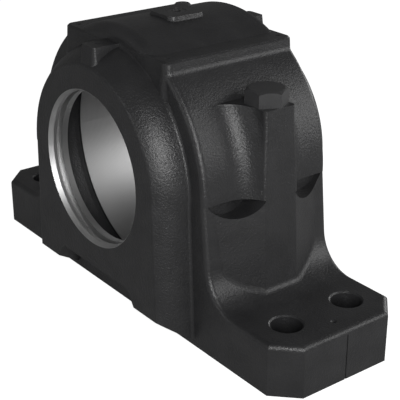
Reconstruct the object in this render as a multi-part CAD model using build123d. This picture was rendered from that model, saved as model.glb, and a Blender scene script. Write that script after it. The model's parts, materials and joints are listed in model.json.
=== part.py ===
"""Split plummer block housing: two bolted castings on a four-hole foot.

Frame: millimetres, +Z up, X along the foot, Y along the shaft.
The origin is the centre of the sole, so the shaft axis is the line x = 0, z = bore_height.
"""
from build123d import *
import os
from math import asin, cos, radians, sin, tan

# ---------------------------------------------------------------- driving sizes
# bore, turned in both castings together
bore_height = 100.0
seat_diameter = 160.0
seat_width = 58.0
seat_shoulder = 3.0
seal_bore_diameter = 104.0
seal_bore_length = 14.6
seal_bore_chamfer = 1.5
seal_bore_chamfer_depth = 3.2
seal_groove_width = 4.4
seal_groove_depth = 5.0
seal_groove_inset = 5.6

# foot
foot_length = 345.0
foot_width = 100.0
foot_thickness = 35.0
foot_corner_cut = 15.5
foot_edge_radius = 3.5
foot_hole_spacing_x = 290.0
foot_hole_spacing_y = 50.0
foot_hole_diameter = 20.0
foot_hole_chamfer = 1.0
foot_dimple_inset = 12.5
end_scribe_width = 1.0
end_scribe_depth = 0.5

# barrel and band round the bore
body_width = 142.2
face_rim = 18.0
face_edge_radius = 2.5
barrel_over_seat = 2.0
barrel_straight = 88.0
barrel_wall = 7.0
barrel_cove_radius = 2.2
band_wall = 12.2
crown_wall = 10.0
band_edge_radius = 4.0
crown_edge_radius = 7.0
band_foot_radius = 26.0
band_draft_deg = 6.0
barrel_draft_deg = 2.0
split_step = 0.6
belly_height_at_foot = 3.5
belly_height_at_face = 18.0
nose_notch_width = 80.0
nose_notch_height = 29.0
nose_notch_slope_deg = 34.0
nose_notch_radius = 4.0

# cap top
wing_length = 118.0
wing_overhang = 0.3
wing_drop = 10.8
wing_draft_deg = 3.5
wing_corner_radius = 5.0
wing_edge_chamfer = 1.2
wing_root_radius = 5.0
end_pad_width = 15.0
end_pad_rise = 13.0
end_pad_set_back = 2.2
end_pad_draft_deg = 6.5
end_pad_corner_radius = 2.0
boss_width = 27.0
boss_rise = 2.0
boss_draft_deg = 12.0
boss_corner_radius = 5.0

# pillars for the cap bolts
pillar_rise = 56.5
pillar_nose = 13.5
pillar_spread = 6.4
pillar_top_width = 24.0
pillar_foot_width = 27.6
pillar_splay_deg = 66.0
pillar_splay_margin = 4.0
pillar_corner_radius = 2.5
pillar_root_radius = 20.0
splay_root_radius = 5.0
pry_slot_length = 35.0
pry_slot_depth = 10.0
pry_slot_bite = 4.0

# cap bolts and dowels
bolt_wall = 12.5
bolt_diameter = 16.0
bolt_across_flats = 24.0
bolt_head_height = 10.0
bolt_head_chamfer_deg = 30.0
bolt_head_flat = 22.5
bolt_end_chamfer = 1.5
bolt_length = 90.0
bolt_hole_clearance = 0.5
bolt_thread_clearance = 0.1
bolt_hole_run_out = 6.0
dowel_diameter = 6.0
dowel_length = 16.0
dowel_chamfer = 0.6
dowel_clearance = 0.02
dowel_end_gap = 1.0
dowel_y = 22.0

# plugs on the cap
centre_hole_diameter = 13.0
centre_hole_depth = 14.0
oil_hole_diameter = 6.0
centre_plug_sink = 0.2
centre_plug_length = 10.0
centre_plug_socket = 6.0
centre_plug_socket_depth = 5.0
side_plug_diameter = 11.5
side_plug_height = 4.4
side_plug_stem_diameter = 8.0
side_plug_stem_length = 8.0
side_plug_seat_sink = 0.5
side_plug_beside_boss = 4.0
side_plug_behind_boss = 4.5
plug_clearance = 0.1
side_plug_chamfer = 1.0

# drill points that mark where holes may be drilled later
dimple_diameter = 4.0
dimple_depth = 1.2
wing_dimple_inset_x = 8.0
wing_dimple_inset_y = 6.5
pad_dimple_inset = 8.0

# ---------------------------------------------------------------- worked out
half_length = foot_length / 2
half_foot = foot_width / 2
half_body = body_width / 2
seat_radius = seat_diameter / 2
chamber_radius = seat_radius + seat_shoulder
seal_bore_radius = seal_bore_diameter / 2
face_radius = seal_bore_radius + face_rim
barrel_radius = seat_radius + barrel_over_seat
band_radius = chamber_radius + band_wall
crown_radius = chamber_radius + crown_wall
base_band_x = band_radius - split_step
base_barrel_x = barrel_radius - split_step
wall_inner = half_body - seal_bore_length
chamber_corner_cut = barrel_wall + chamber_radius - barrel_radius + wall_inner - half_foot
crown_height = bore_height + crown_radius
wing_height = crown_height - wing_drop
wing_width = foot_width + 2 * wing_overhang
crown_half_chord = (crown_radius**2 - (crown_radius - wing_drop) ** 2) ** 0.5
wing_middle_x = (wing_length / 2 + crown_half_chord) / 2
end_pad_height = bore_height + face_radius + end_pad_rise
end_pad_reach = half_body - end_pad_set_back
boss_height = crown_height + boss_rise
bolt_x = seat_radius + bolt_wall
pillar_height = bore_height + pillar_rise
pillar_top_reach = bolt_x + pillar_nose
pillar_foot_reach = pillar_top_reach + pillar_spread
dowel_x = (seat_radius + base_band_x - pry_slot_bite) / 2
side_plug_x = -boss_width / 2 - side_plug_beside_boss
side_plug_y = boss_width / 2 + side_plug_behind_boss
beyond = 5.0
touching = 0.01
UP = (Align.CENTER, Align.CENTER, Align.MIN)
DOWN = (Align.CENTER, Align.CENTER, Align.MAX)


def near(value, target):
    """True where a coordinate lies at a target."""
    return abs(value - target) < touching


def near_side(value, radius):
    """True where a barrel section's vertex lies on the bulge just outside the band."""
    return radius - barrel_cove_radius < value < radius + touching


def at_bore(shape):
    """Move a shape made about the Y axis up to the shaft axis."""
    return Pos(0, 0, bore_height) * shape


def revolved(section):
    """Turn a section, radius along X and shaft axis along Y, into a solid on the shaft axis."""
    return at_bore(revolve(section, axis=Axis.Y))


def barrel_bulge(root_radius, side):
    """Arc from the end of the barrel's straight middle, where it is tangent to Y, in to the end face."""
    straight = barrel_straight / 2
    reach = half_body - straight
    drop = barrel_radius - face_radius
    radius = (drop**2 + reach**2) / (2 * drop)
    half_turn = asin(reach / radius) / 2
    middle = (root_radius - radius + radius * cos(half_turn), side * (straight + radius * sin(half_turn)))
    return ThreePointArc((root_radius, side * straight), middle, (root_radius - drop, side * half_body))


def with_coves(section, root_radius):
    """Widen a barrel section under the band and round the corner at the band's faces to a small cove."""
    section += Rectangle(2 * (root_radius + 2 * barrel_cove_radius), foot_width)
    inner = [v for v in section.vertices() if near(abs(v.Y), half_foot) and near_side(abs(v.X), root_radius)]
    return fillet(inner, barrel_cove_radius)


def barrel_plan(root_radius):
    """Plan of the barrel: straight at the band, bulging in to the two end faces."""
    face_x = root_radius - (barrel_radius - face_radius)
    right = [
        barrel_bulge(root_radius, 1),
        Line((root_radius, -barrel_straight / 2), (root_radius, barrel_straight / 2)),
        barrel_bulge(root_radius, -1),
    ]
    left = [edge.mirror(Plane.YZ) for edge in right]
    ends = [Line((-face_x, side * half_body), (face_x, side * half_body)) for side in (-1, 1)]
    plan = make_face(right + left + ends)
    plan = fillet([v for v in plan.vertices() if near(abs(v.Y), half_body)], face_edge_radius)
    return with_coves(plan, root_radius)


def barrel_upper():
    """Barrel of the cap: the same bulge turned about the shaft axis."""
    bulge_front = barrel_bulge(barrel_radius, -1)
    bulge_rear = barrel_bulge(barrel_radius, 1)
    side = Line((barrel_radius, -barrel_straight / 2), (barrel_radius, barrel_straight / 2))
    core = Polyline((face_radius, half_body), (0, half_body), (0, -half_body), (face_radius, -half_body))
    section = make_face([bulge_front, side, bulge_rear, core])
    section = fillet([v for v in section.vertices() if near(v.X, face_radius)], face_edge_radius)
    half_plane = Rectangle(crown_radius, body_width, align=(Align.MIN, Align.CENTER))
    return revolved(with_coves(section, barrel_radius) & half_plane)


def barrel_lower():
    """Barrel of the base: upright sides with draft, a belly that slopes up, a notch under each nose."""
    spread = bore_height * tan(radians(barrel_draft_deg))
    top = Pos(0, 0, bore_height) * barrel_plan(base_barrel_x)
    bottom = barrel_plan(base_barrel_x + spread)
    barrel = loft([bottom, top], ruled=True)
    slope = (belly_height_at_face - belly_height_at_foot) / (half_body - half_foot)
    reach = half_body - half_foot + beyond
    for side in (-1, 1):
        belly = Polygon(
            (side * half_foot, -beyond),
            (side * (half_foot + reach), -beyond),
            (side * (half_foot + reach), belly_height_at_foot + slope * reach),
            (side * half_foot, belly_height_at_foot),
            align=None,
        )
        barrel -= extrude(Plane.YZ * belly, amount=half_length, both=True)
    return barrel - nose_notches()


def nose_notches():
    """The tapered notch under each end of the barrel, back to the foot's side."""
    flare = (nose_notch_height + beyond) * tan(radians(nose_notch_slope_deg))
    half_top = nose_notch_width / 2
    notch = Polygon(
        (-half_top - flare, -beyond),
        (half_top + flare, -beyond),
        (half_top, nose_notch_height),
        (-half_top, nose_notch_height),
        align=None,
    )
    notch = fillet(notch.vertices().group_by(Axis.Y)[-1], nose_notch_radius)
    reach = half_body - half_foot + beyond
    front = extrude(Plane.XZ.offset(half_foot) * notch, amount=reach)
    return front + front.mirror(Plane.XZ)


def foot_and_band():
    """Foot plate and the band above it as one outline, run across the foot's width."""
    outline = Rectangle(foot_length, foot_thickness, align=(Align.CENTER, Align.MIN))
    spread = bore_height * tan(radians(band_draft_deg))
    band = [(-base_band_x - spread, 0), (base_band_x + spread, 0), (base_band_x, bore_height)]
    outline += Polygon(*band, (-base_band_x, bore_height), align=None)
    inner = [v for v in outline.vertices() if near(v.Y, foot_thickness) and abs(v.X) < base_band_x + spread]
    outline = fillet(inner, band_foot_radius)
    block = extrude(Plane.XZ * outline, amount=half_foot, both=True)
    uprights = block.edges().filter_by(Axis.Z)
    corners = [e for e in uprights if near(abs(e.center().X), half_length) and near(abs(e.center().Y), half_foot)]
    block = chamfer(corners, foot_corner_cut)
    above = [e for e in block.edges() if foot_thickness - touching < e.center().Z < bore_height - touching]
    sides = [e for e in above if near(abs(e.center().Y), half_foot)]
    ends = [e for e in above if abs(e.center().X) > half_length - foot_corner_cut]
    rims = sides + [e for e in ends if not near(abs(e.center().Y), half_foot)]
    return fillet(rims, foot_edge_radius)


def pillar_corners(height, shrink=0.0):
    """Corners of the +X pillar's plan at one height: a blunt nose, and sides that splay to the band's edges."""
    part_way = (height - foot_thickness) / (pillar_height - foot_thickness)
    nose_x = pillar_foot_reach + (pillar_top_reach - pillar_foot_reach) * part_way - shrink
    half = (pillar_foot_width + (pillar_top_width - pillar_foot_width) * part_way) / 2 - shrink
    wide = half_foot - pillar_splay_margin
    root_x = nose_x - (wide - half) / tan(radians(pillar_splay_deg))
    right = [(wing_length / 2, wide, height), (root_x, wide, height), (nose_x, half, height)]
    return right + [(x, -y, z) for x, y, z in right[::-1]]


def nose_edges(body, shrink=0.0):
    """The upright edges of a body that run along the corners of a pillar's nose."""
    found = []
    for edge in body.edges():
        middle = edge.center()
        corner_x, corner_y, _ = pillar_corners(middle.Z, shrink)[2]
        if near(abs(middle.X), corner_x) and near(abs(middle.Y), corner_y):
            found.append(edge)
    return found


def pillar_between(low, high, shrink=0.0):
    """Flat-sided length of the +X pillar between two heights, its two nose edges rounded."""
    lower = pillar_corners(low, shrink)
    upper = pillar_corners(high, shrink)
    rings = [lower[::-1], upper]
    for a in range(len(lower)):
        b = (a + 1) % len(lower)
        rings.append([lower[a], lower[b], upper[b], upper[a]])
    faces = [Face(Wire.make_polygon(ring)) for ring in rings]
    return Solid(Shell(faces))


def both_ends(shape):
    """A shape on the +X side together with its mirror image."""
    return shape + shape.mirror(Plane.YZ)


def joined(body, added, radius, low, high):
    """Join a shape to a body and round the corner between them, on the edges between two heights."""
    whole = body + added
    roots = [e for e in new_edges(body, added, combined=whole) if low < e.center().Z < high]
    return fillet(roots, radius)


def pry_slots():
    """Four bowls just under the split, between nose and band edge, for levering the cap off."""
    nose_half = pillar_corners(bore_height, split_step)[2][1]
    middle_y = (nose_half + half_foot - pillar_splay_margin) / 2
    bowl_radius = (pry_slot_length**2 / 4 + pry_slot_depth**2) / (2 * pry_slot_depth)
    bowl = Rotation(0, 90, 0) * Cylinder(bowl_radius, pillar_foot_reach, align=UP)
    place = Pos(base_band_x - pry_slot_bite, middle_y, bore_height - pry_slot_depth + bowl_radius)
    below_split = Box(foot_length, 2 * foot_width, bore_height, align=UP)
    slot = both_ends((place * bowl) & below_split)
    return slot + slot.mirror(Plane.XZ)


def bore_cut():
    """Everything that is turned out of both castings on the shaft axis."""
    groove_outer = half_body - seal_groove_inset
    groove_inner = groove_outer - seal_groove_width
    groove_radius = seal_bore_radius + seal_groove_depth
    chamfer_start = half_body - seal_bore_chamfer_depth
    mouth_radius = seal_bore_radius + seal_bore_chamfer
    half = Polygon(
        (0, 0),
        (seat_radius, 0),
        (seat_radius, seat_width / 2),
        (chamber_radius, seat_width / 2),
        (chamber_radius, wall_inner),
        (seal_bore_radius, wall_inner),
        (seal_bore_radius, groove_inner),
        (groove_radius, groove_inner),
        (groove_radius, groove_outer),
        (seal_bore_radius, groove_outer),
        (seal_bore_radius, chamfer_start),
        (mouth_radius, half_body),
        (mouth_radius, half_body + beyond),
        (0, half_body + beyond),
        align=None,
    )
    corner = [v for v in half.vertices() if near(v.X, chamber_radius) and near(v.Y, wall_inner)]
    half = chamfer(corner, chamber_corner_cut)
    return revolved(half + half.mirror(Plane.XZ))


def dimple_at(x, y, z):
    """A shallow drill point in a flat top face."""
    return Pos(x, y, z) * Cone(0, dimple_diameter / 2, dimple_depth, align=DOWN)


def bolt_hole(radius, low, high):
    """A round hole for the +X cap bolt between two heights."""
    return Pos(bolt_x, 0, low) * Cylinder(radius, high - low, align=UP)


def dowel_places():
    """The two dowels stand at opposite corners of the split."""
    return [Pos(dowel_x, dowel_y, bore_height), Pos(-dowel_x, -dowel_y, bore_height)]


def dowel_holes():
    """Holes for the dowels, reaching into both castings."""
    radius = dowel_diameter / 2 + dowel_clearance
    hole = Cylinder(radius, dowel_length + 2 * dowel_end_gap)
    return Part() + [place * hole for place in dowel_places()]


def foot_holes():
    """Four through holes for the foot bolts, each broken at the top."""
    radius = foot_hole_diameter / 2
    through = Cylinder(radius, foot_thickness, align=UP)
    rim = Cone(radius, radius + foot_hole_chamfer, foot_hole_chamfer, align=DOWN)
    hole = through + Pos(0, 0, foot_thickness) * rim
    places = GridLocations(foot_hole_spacing_x, foot_hole_spacing_y, 2, 2)
    return Part() + [place * hole for place in places]


def end_scribe():
    """The shallow centre line on the +X end of the foot."""
    line = Box(2 * end_scribe_depth, end_scribe_width, foot_thickness - foot_edge_radius, align=UP)
    return Pos(half_length, 0, 0) * line


def housing_base():
    """Lower casting: foot, band, barrel and the lower halves of the two pillars."""
    lower = pillar_between(0, bore_height, split_step)
    lower = both_ends(fillet(nose_edges(lower, split_step), pillar_corner_radius))
    body = joined(foot_and_band(), lower, splay_root_radius, 0, bore_height - touching)
    body += barrel_lower()
    body -= bore_cut()
    thread_radius = bolt_diameter / 2 + bolt_thread_clearance
    bottom = pillar_height - bolt_length - bolt_hole_run_out
    body -= both_ends(bolt_hole(thread_radius, bottom, bore_height))
    body -= pry_slots()
    body -= dowel_holes()
    body -= foot_holes()
    body -= both_ends(end_scribe())
    return body - both_ends(dimple_at(half_length - foot_dimple_inset, 0, foot_thickness))


def cap_band():
    """Band of the cap: the crown in the middle and the slightly larger band outside the wings."""
    crown_section = Rectangle(crown_radius, foot_width, align=(Align.MIN, Align.CENTER))
    crown_section = fillet(crown_section.vertices().group_by(Axis.X)[-1], crown_edge_radius)
    band_section = Rectangle(band_radius, foot_width, align=(Align.MIN, Align.CENTER))
    band_section = fillet(band_section.vertices().group_by(Axis.X)[-1], band_edge_radius)
    middle = at_bore(Box(2 * wing_middle_x, 2 * foot_width, 2 * crown_height))
    return (revolved(crown_section) & middle) + (revolved(band_section) - middle)


def wings():
    """The flat-topped block across the cap that the crown rises from."""
    plan = Rectangle(wing_length, wing_width)
    plan = fillet(plan.vertices(), wing_corner_radius)
    depth = wing_height - bore_height
    block = extrude(Pos(0, 0, wing_height) * plan, amount=depth, dir=(0, 0, -1), taper=-wing_draft_deg)
    return chamfer(block.faces().sort_by(Axis.Z)[-1].edges(), wing_edge_chamfer)


def wings_joined(band):
    """The band with the wing block, rounded where the block's two ends stand on the band."""
    whole = band + wings()
    roots = [e for e in new_edges(band, wings(), combined=whole) if near(e.center().Y, 0)]
    ends = [e for e in roots if e.center().Z < wing_height - wing_root_radius]
    return fillet(ends, wing_root_radius)


def end_pad():
    """The upright pad over the front end face."""
    depth = end_pad_height - bore_height - face_radius + beyond
    reach = end_pad_reach - half_foot + crown_edge_radius
    plan = Rectangle(end_pad_width, reach, align=(Align.CENTER, Align.MIN))
    plan = fillet(plan.vertices(), end_pad_corner_radius)
    place = Pos(0, -end_pad_reach, end_pad_height)
    return extrude(place * plan, amount=depth, dir=(0, 0, -1), taper=-end_pad_draft_deg)


def boss():
    """The rounded square boss on the crown, round the threaded hole."""
    plan = RectangleRounded(boss_width, boss_width, boss_corner_radius)
    depth = boss_height - crown_height + beyond
    return extrude(Pos(0, 0, boss_height) * plan, amount=depth, dir=(0, 0, -1), taper=-boss_draft_deg)


def pillar_collar():
    """Ring whose sides sweep out of the band: straight at the nose's half width, then a large round."""
    half = pillar_top_width / 2
    sweep = half + pillar_root_radius
    outer = band_radius + pillar_root_radius
    turn = pillar_root_radius * (1 - cos(radians(45)))
    right = [
        Line((seat_radius, sweep), (band_radius, sweep)),
        ThreePointArc((band_radius, sweep), (band_radius + turn, half + turn), (outer, half)),
        Line((outer, half), (pillar_foot_reach + bolt_x, half)),
    ]
    left = [edge.mirror(Plane.XZ) for edge in right]
    ends = [Line((x, -y), (x, y)) for x, y in [(seat_radius, sweep), (pillar_foot_reach + bolt_x, half)]]
    return revolved(make_face(right + left + ends))


def upper_pillars(band):
    """The band with both pillars cast on: the collar's sides, a drafted nose and a flat for the bolt."""
    split_nose_x = pillar_corners(bore_height)[2][0]
    inner_x = wing_length / 2
    side_view = Polygon(
        (inner_x, bore_height),
        (split_nose_x, bore_height),
        (pillar_top_reach, pillar_height),
        (inner_x, pillar_height),
        align=None,
    )
    pillar = pillar_collar() & extrude(Plane.XZ * side_view, amount=half_foot, both=True)
    upright = [e for e in pillar.edges() if e.bounding_box().size.Z > beyond]
    nose = [e for e in upright if e.center().X > pillar_top_reach]
    return band + both_ends(fillet(nose, pillar_corner_radius))


def cap_lubrication():
    """Threaded hole in the boss with its oil hole, and the hole and flat seat of the side plug."""
    threaded = Cylinder(centre_hole_diameter / 2, centre_hole_depth, align=DOWN)
    oil = Cylinder(oil_hole_diameter / 2, boss_height - bore_height, align=DOWN)
    side_seat = Cylinder(side_plug_diameter / 2 + 4 * plug_clearance, beyond, align=UP)
    side_hole = Cylinder(side_plug_stem_diameter / 2 + plug_clearance, side_plug_stem_length + 1, align=DOWN)
    return Pos(0, 0, boss_height) * (threaded + oil) + side_plug_place() * (side_seat + side_hole)


def side_plug_place():
    """Centre of the side plug's flat seat, sunk a little into the crown's round."""
    low_side = abs(side_plug_x) + side_plug_diameter / 2
    seat_height = bore_height + (crown_radius**2 - low_side**2) ** 0.5 - side_plug_seat_sink
    return Pos(side_plug_x, side_plug_y, seat_height)


def housing_cap():
    """Upper casting: crown, wings, end pads, boss and the upper halves of the two pillars."""
    body = upper_pillars(cap_band())
    body = wings_joined(body)
    body += barrel_upper()
    pad = end_pad()
    body += pad + pad.mirror(Plane.XZ)
    body += boss()
    body -= at_bore(Box(2 * foot_length, 2 * foot_length, 2 * bore_height, align=DOWN))
    body -= bore_cut()
    bolt_radius = bolt_diameter / 2 + bolt_hole_clearance
    body -= both_ends(bolt_hole(bolt_radius, bore_height, pillar_height))
    body -= dowel_holes()
    body -= cap_lubrication()
    wing_dimple_x = wing_length / 2 - wing_dimple_inset_x
    wing_dimple_y = wing_width / 2 - wing_dimple_inset_y
    for side in (-1, 1):
        body -= dimple_at(0, side * (end_pad_reach - pad_dimple_inset), end_pad_height)
        body -= both_ends(dimple_at(wing_dimple_x, side * wing_dimple_y, wing_height))
    return body


def cap_bolts():
    """The two hexagon head bolts, a corner of each head pointing along the foot."""
    across_corners = bolt_across_flats / cos(radians(30))
    head = extrude(RegularPolygon(across_corners / 2, 6), amount=bolt_head_height)
    slope = tan(radians(bolt_head_chamfer_deg))
    cone_base = bolt_head_flat / 2 + bolt_head_height / slope
    head &= Cone(cone_base, bolt_head_flat / 2, bolt_head_height, align=UP)
    shank = Cylinder(bolt_diameter / 2, bolt_length, align=DOWN)
    shank = chamfer(shank.edges().sort_by(Axis.Z)[0], bolt_end_chamfer)
    return both_ends(Pos(bolt_x, 0, pillar_height) * (head + shank))


def dowel_pins():
    """The two pins that locate the cap on the base."""
    pin = Cylinder(dowel_diameter / 2, dowel_length)
    pin = chamfer(pin.edges().filter_by(GeomType.CIRCLE), dowel_chamfer)
    return Part() + [place * pin for place in dowel_places()]


def centre_plug():
    """Screw plug in the boss, flush type with a hexagon socket."""
    plug = Cylinder(centre_hole_diameter / 2 - plug_clearance, centre_plug_length, align=DOWN)
    socket = RegularPolygon(centre_plug_socket / 2, 6, major_radius=False)
    plug -= extrude(socket, amount=-centre_plug_socket_depth)
    return Pos(0, 0, boss_height - centre_plug_sink) * plug


def side_plug():
    """Round-headed screw plug in the crown, beside the boss."""
    head = Cylinder(side_plug_diameter / 2, side_plug_height, align=UP)
    head = chamfer(head.edges().sort_by(Axis.Z)[-1], side_plug_chamfer)
    stem = Cylinder(side_plug_stem_diameter / 2, side_plug_stem_length, align=DOWN)
    return side_plug_place() * (head + stem)


os.makedirs("parts", exist_ok=True)
export_step(housing_base(), "parts/housing_base.step")
export_step(housing_cap(), "parts/housing_cap.step")
export_step(cap_bolts(), "parts/cap_bolts.step")
export_step(dowel_pins(), "parts/dowel_pins.step")
export_step(centre_plug(), "parts/centre_plug.step")
export_step(side_plug(), "parts/side_plug.step")
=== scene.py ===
import json
from math import radians

import bpy
import numpy as np
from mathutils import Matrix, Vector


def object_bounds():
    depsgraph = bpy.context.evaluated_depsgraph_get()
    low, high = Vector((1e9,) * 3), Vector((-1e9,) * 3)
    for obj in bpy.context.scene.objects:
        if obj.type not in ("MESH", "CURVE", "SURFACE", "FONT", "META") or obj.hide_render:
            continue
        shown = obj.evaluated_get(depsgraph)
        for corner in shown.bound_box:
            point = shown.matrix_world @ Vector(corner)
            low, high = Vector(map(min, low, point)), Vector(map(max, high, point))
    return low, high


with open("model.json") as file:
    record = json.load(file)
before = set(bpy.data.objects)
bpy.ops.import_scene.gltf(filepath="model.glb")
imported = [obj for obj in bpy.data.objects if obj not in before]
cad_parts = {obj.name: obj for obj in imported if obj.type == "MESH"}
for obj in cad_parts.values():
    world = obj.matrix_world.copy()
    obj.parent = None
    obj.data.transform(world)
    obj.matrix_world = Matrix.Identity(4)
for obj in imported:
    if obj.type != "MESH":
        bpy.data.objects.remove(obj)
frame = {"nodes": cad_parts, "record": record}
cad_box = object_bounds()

# ---------------------------------------------------------------- floor and surroundings
# A plain white floor that fades into a white surround. It is lit like any matt board, so the housing
# keeps a soft shadow under its foot, and a camera sees the rest as clean white.


def linear(hex_colour):
    """sRGB hex value to a linear RGBA colour: c/12.92 below 0.04045, else ((c + 0.055)/1.055)^2.4."""
    channels = np.array([int(hex_colour[i:i + 2], 16) / 255 for i in (1, 3, 5)])
    low = channels / 12.92
    high = ((channels + 0.055) / 1.055) ** 2.4
    return (*np.where(channels <= 0.04045, low, high), 1.0)


def new_tree(material):
    """The empty node tree of a material, with its output node."""
    material.use_nodes = True
    tree = material.node_tree
    tree.nodes.clear()
    return tree, tree.nodes.new("ShaderNodeOutputMaterial")


def add_node(tree, kind, inputs=None, **settings):
    """One node with its settings; an input given as a socket is linked, and a plain value is set."""
    node = tree.nodes.new(kind)
    for name, value in settings.items():
        setattr(node, name, value)
    for key, value in (inputs or {}).items():
        if isinstance(value, bpy.types.NodeSocket):
            tree.links.new(value, node.inputs[key])
        else:
            node.inputs[key].default_value = value
    return node


def add_math(tree, operation, first, second=0.0, third=0.0):
    """One Math node's result."""
    return add_node(tree, "ShaderNodeMath", {0: first, 1: second, 2: third}, operation=operation).outputs[0]


floor_reach = 4.0
floor_colour = linear("#BCBCBC")
floor_glow = 0.90
surround_strength = 0.12
clear_white = (1, 1, 1, 1)
floor_grid = np.array([[-1, -1], [1, -1], [1, 1], [-1, 1]]) * floor_reach
floor_mesh = bpy.data.meshes.new("studio_floor")
floor_mesh.from_pydata([(x, y, 0.0) for x, y in floor_grid], [], [(0, 1, 2, 3)])
studio_floor = bpy.data.objects.new("studio_floor", floor_mesh)
bpy.context.scene.collection.objects.link(studio_floor)

matt_board = bpy.data.materials.new("matt_board")
tree, output = new_tree(matt_board)
rays = add_node(tree, "ShaderNodeLightPath")
board = add_node(tree, "ShaderNodeBsdfDiffuse", {"Color": floor_colour})
glow_strength = add_math(tree, "MULTIPLY", rays.outputs["Is Camera Ray"], floor_glow)
glow = add_node(tree, "ShaderNodeEmission", {"Color": clear_white, "Strength": glow_strength})
both = add_node(tree, "ShaderNodeAddShader", {0: board.outputs[0], 1: glow.outputs[0]})
tree.links.new(both.outputs[0], output.inputs["Surface"])
floor_mesh.materials.append(matt_board)

studio_world = bpy.data.worlds.new("white_surround")
studio_world.use_nodes = True
tree = studio_world.node_tree
tree.nodes.clear()
rays = add_node(tree, "ShaderNodeLightPath")
seen = add_math(tree, "MAXIMUM", rays.outputs["Is Camera Ray"], rays.outputs["Is Transmission Ray"])
ambient = add_node(tree, "ShaderNodeBackground", {"Color": clear_white, "Strength": surround_strength})
white = add_node(tree, "ShaderNodeBackground", {"Color": clear_white, "Strength": 1.0})
choose = add_node(tree, "ShaderNodeMixShader", {0: seen, 1: ambient.outputs[0], 2: white.outputs[0]})
add_node(tree, "ShaderNodeOutputWorld", {"Surface": choose.outputs[0]})
bpy.context.scene.world = studio_world

# ---------------------------------------------------------------- lamps
# Five softboxes, all facing the middle of the housing. The key stands in front of the +X end, and weak
# ones stand straight off that end and off the front. The rear one draws the rims and lights the bore,
# and the back one keeps the rear face from going black.

middle = np.array([0.0, 0.0, cad_box[1][2] / 2])


def softbox(name, place, width, height, watts):
    """A rectangular lamp at a place, turned so that it faces the middle of the housing."""
    lamp = bpy.data.lights.new(name, "AREA")
    lamp.shape = "RECTANGLE"
    lamp.size = width
    lamp.size_y = height
    lamp.energy = watts
    holder = bpy.data.objects.new(name, lamp)
    bpy.context.scene.collection.objects.link(holder)
    x, y, z = np.array(place) - middle
    holder.location = place
    holder.rotation_euler = (np.arctan2(np.hypot(x, y), z), 0, np.arctan2(x, -y))


softbox("key_softbox", place=(1.15, -0.75, 0.62), width=0.30, height=0.8, watts=13.5)
softbox("end_softbox", place=(1.40, 0.10, 0.30), width=0.6, height=0.5, watts=0.4)
softbox("front_softbox", place=(-0.20, -1.40, 0.45), width=0.6, height=0.5, watts=1.8)
softbox("rear_softbox", place=(0.78, 0.75, 0.50), width=0.7, height=0.6, watts=4.1)
softbox("back_softbox", place=(-0.15, 1.40, 0.35), width=0.6, height=0.5, watts=3.0)

# ---------------------------------------------------------------- camera
# A long lens looks down on the +X end and the front face. Its place is in metres in the housing's own
# frame.

lens_mm = 97.00
sensor_mm = 36.0
camera_place = (0.56325, -0.40888, 0.36799)
look_down_deg = 23.941
look_round_deg = 52.739
camera_data = bpy.data.cameras.new("camera")
camera_data.lens = lens_mm
camera_data.sensor_width = sensor_mm
camera = bpy.data.objects.new("camera", camera_data)
camera.location = camera_place
camera.rotation_euler = (radians(90 - look_down_deg), 0.0, radians(look_round_deg))
bpy.context.scene.collection.objects.link(camera)
bpy.context.scene.camera = camera
bpy.context.scene.view_settings.view_transform = "Standard"

# ---------------------------------------------------------------- the two castings
# Grey iron, sand cast and painted charcoal. The bearing seat, the seal lands and their groove are turned
# afterwards and left bare. The paint keeps the grain of the sand, so its gloss is broken up.

mounts = {mount["name"]: mount for mount in frame["record"]["mounts"]}
seat = mounts["bearing_seat"]
land = mounts["seal_bore_rear"]
mesh_room = 0.0001
rim_chamfer = 0.0016
bore_height = seat["pos_m"][2]
seat_radius = seat["dims"]["r_mm"] / 1000
seat_room = 0.0004
seat_half = seat["dims"]["length_mm"] / 2000 + mesh_room
land_start = land["pos_m"][1] - land["dims"]["length_mm"] / 2000 + mesh_room
rim_radius = land["dims"]["r_mm"] / 1000 + rim_chamfer
groove_radius = 0.0572
groove_middle = 0.0633
groove_half = 0.0023

paint_dark = linear("#242425")
paint_light = linear("#2B2B2C")
paint_gloss = (0.28, 0.42)
paint_specular = 0.5
grain_mm = 1.3
grain_depth = 0.0004
grain_strength = 0.8
swell_mm = 14.0
swell_depth = 0.001
swell_strength = 0.25
swell_band = (0.3, 0.7)
bare_iron = linear("#C4C4C4")
bare_roughness = 0.48
turning_scale = 300.0
turning_depth = 0.0002
turning_strength = 0.12


def add_noise(tree, point, size_mm, detail, roughness=0.5):
    """Soft noise whose pattern repeats at about a real size in millimetres."""
    values = {"Vector": point, "Scale": 1000 / size_mm, "Detail": detail, "Roughness": roughness}
    return add_node(tree, "ShaderNodeTexNoise", values).outputs["Fac"]


def add_tone(tree, factor, dark, light, start=0.0, end=1.0):
    """A colour that runs from dark to light as the factor goes from start to end."""
    ramp = add_node(tree, "ShaderNodeValToRGB", {0: factor})
    first, last = ramp.color_ramp.elements
    first.position, first.color = start, dark
    last.position, last.color = end, light
    return ramp.outputs[0]


def add_gloss(tree, factor, lowest, highest):
    """A roughness that runs between two values with a factor."""
    values = {"Value": factor, "To Min": lowest, "To Max": highest}
    return add_node(tree, "ShaderNodeMapRange", values).outputs[0]


def add_relief(tree, height, strength, depth, under=None):
    """Small relief from a height, laid over another relief when one is given."""
    values = {"Height": height, "Strength": strength, "Distance": depth}
    if under is not None:
        values["Normal"] = under
    return add_node(tree, "ShaderNodeBump", values).outputs[0]


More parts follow.
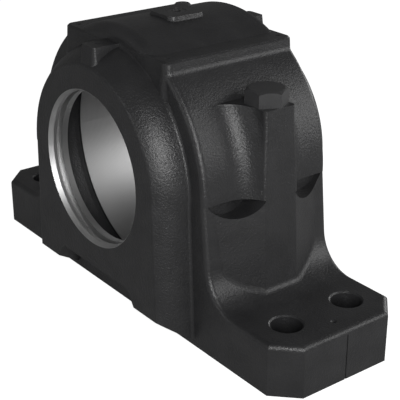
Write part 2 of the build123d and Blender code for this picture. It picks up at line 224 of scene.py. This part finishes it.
def turned_mask(tree, point):
    """1 on the surfaces turned about the shaft axis: the bearing seat, the seal lands and their groove.

    The distance from the axis is r = sqrt(x^2 + (z - bore_height)^2). A land lies within rim_radius and
    beyond land_start from the middle; the seat lies at seat_radius and within seat_half.
    """
    parts = add_node(tree, "ShaderNodeSeparateXYZ", {0: point})
    up = add_math(tree, "SUBTRACT", parts.outputs["Z"], bore_height)
    square = add_math(tree, "MULTIPLY_ADD", up, up, add_math(tree, "POWER", parts.outputs["X"], 2.0))
    distance = add_math(tree, "SQRT", square)
    along = add_math(tree, "ABSOLUTE", parts.outputs["Y"])
    in_rim = add_math(tree, "LESS_THAN", distance, rim_radius)
    on_land = add_math(tree, "MULTIPLY", in_rim, add_math(tree, "GREATER_THAN", along, land_start))
    in_groove = add_math(tree, "LESS_THAN", distance, groove_radius)
    beside = add_math(tree, "COMPARE", along, groove_middle, groove_half)
    on_groove = add_math(tree, "MULTIPLY", in_groove, beside)
    at_seat = add_math(tree, "COMPARE", distance, seat_radius, seat_room)
    on_seat = add_math(tree, "MULTIPLY", at_seat, add_math(tree, "LESS_THAN", along, seat_half))
    return add_math(tree, "MAXIMUM", on_seat, add_math(tree, "MAXIMUM", on_land, on_groove))


def painted_cast_iron():
    """Charcoal primer paint over sand-cast iron, with the bore turned bright."""
    material = bpy.data.materials.new("painted_sand_cast_iron")
    tree, output = new_tree(material)
    point = add_node(tree, "ShaderNodeTexCoord").outputs["Object"]

    grain = add_noise(tree, point, grain_mm, detail=3.0, roughness=0.6)
    swell = add_noise(tree, point, swell_mm, detail=2.0)
    grain_relief = add_relief(tree, grain, grain_strength, grain_depth)
    paint = add_node(tree, "ShaderNodeBsdfPrincipled", {
        "Base Color": add_tone(tree, swell, paint_dark, paint_light, *swell_band),
        "Roughness": add_gloss(tree, grain, *paint_gloss),
        "Specular IOR Level": paint_specular,
        "Normal": add_relief(tree, swell, swell_strength, swell_depth, under=grain_relief)})

    values = {"Vector": point, "Scale": turning_scale, "Distortion": 0.0}
    turning = add_node(tree, "ShaderNodeTexWave", values, bands_direction="Y").outputs["Fac"]
    bare = add_node(tree, "ShaderNodeBsdfPrincipled", {
        "Base Color": bare_iron,
        "Metallic": 1.0,
        "Roughness": bare_roughness,
        "Normal": add_relief(tree, turning, turning_strength, turning_depth)})
    layers = {0: turned_mask(tree, point), 1: paint.outputs[0], 2: bare.outputs[0]}
    surface = add_node(tree, "ShaderNodeMixShader", layers)
    tree.links.new(surface.outputs[0], output.inputs["Surface"])
    return material


def finished(node, material):
    """Give a piece of the frame its material, in place of the one it was packed with."""
    piece = frame["nodes"][node]
    piece.data.materials.clear()
    piece.data.materials.append(material)


casting_paint = painted_cast_iron()
finished("housing_base", casting_paint)
finished("housing_cap", casting_paint)

# ---------------------------------------------------------------- cap bolts and plugs
# Two hexagon head bolts of forged steel that clamp the cap, and the two plugs on the crown. All are hot
# blackened in oil.

oxide_dark = linear("#2C2C2D")
oxide_light = linear("#39393A")
oxide_gloss = (0.34, 0.46)
forge_scale_mm = 2.0
forge_scale_depth = 0.0002
forge_scale_strength = 0.1


def black_oxide_steel():
    """Forged steel with a black oxide skin: nearly black, with a soft satin gloss."""
    material = bpy.data.materials.new("black_oxide_steel")
    tree, output = new_tree(material)
    point = add_node(tree, "ShaderNodeTexCoord").outputs["Object"]
    forge_scale = add_noise(tree, point, forge_scale_mm, detail=3.0)
    skin = add_node(tree, "ShaderNodeBsdfPrincipled", {
        "Base Color": add_tone(tree, forge_scale, oxide_dark, oxide_light),
        "Roughness": add_gloss(tree, forge_scale, *oxide_gloss),
        "Normal": add_relief(tree, forge_scale, forge_scale_strength, forge_scale_depth)})
    tree.links.new(skin.outputs[0], output.inputs["Surface"])
    return material


oxide = black_oxide_steel()
finished("cap_bolts", oxide)
finished("centre_plug", oxide)
finished("side_plug", oxide)

# ---------------------------------------------------------------- dowel pins
# Two hardened steel pins, ground all round. They stand in the split between the castings, out of sight
# while the cap is on.

pin_steel = linear("#B4B4B6")
pin_gloss = (0.18, 0.3)
grind_mm = 0.8


def ground_steel():
    """Hardened steel, ground all round: bright, with a fine even grind."""
    material = bpy.data.materials.new("ground_steel")
    tree, output = new_tree(material)
    point = add_node(tree, "ShaderNodeTexCoord").outputs["Object"]
    grind = add_noise(tree, point, grind_mm, detail=2.0)
    steel = add_node(tree, "ShaderNodeBsdfPrincipled", {
        "Base Color": pin_steel,
        "Metallic": 1.0,
        "Roughness": add_gloss(tree, grind, *pin_gloss)})
    tree.links.new(steel.outputs[0], output.inputs["Surface"])
    return material


finished("dowel_pins", ground_steel())
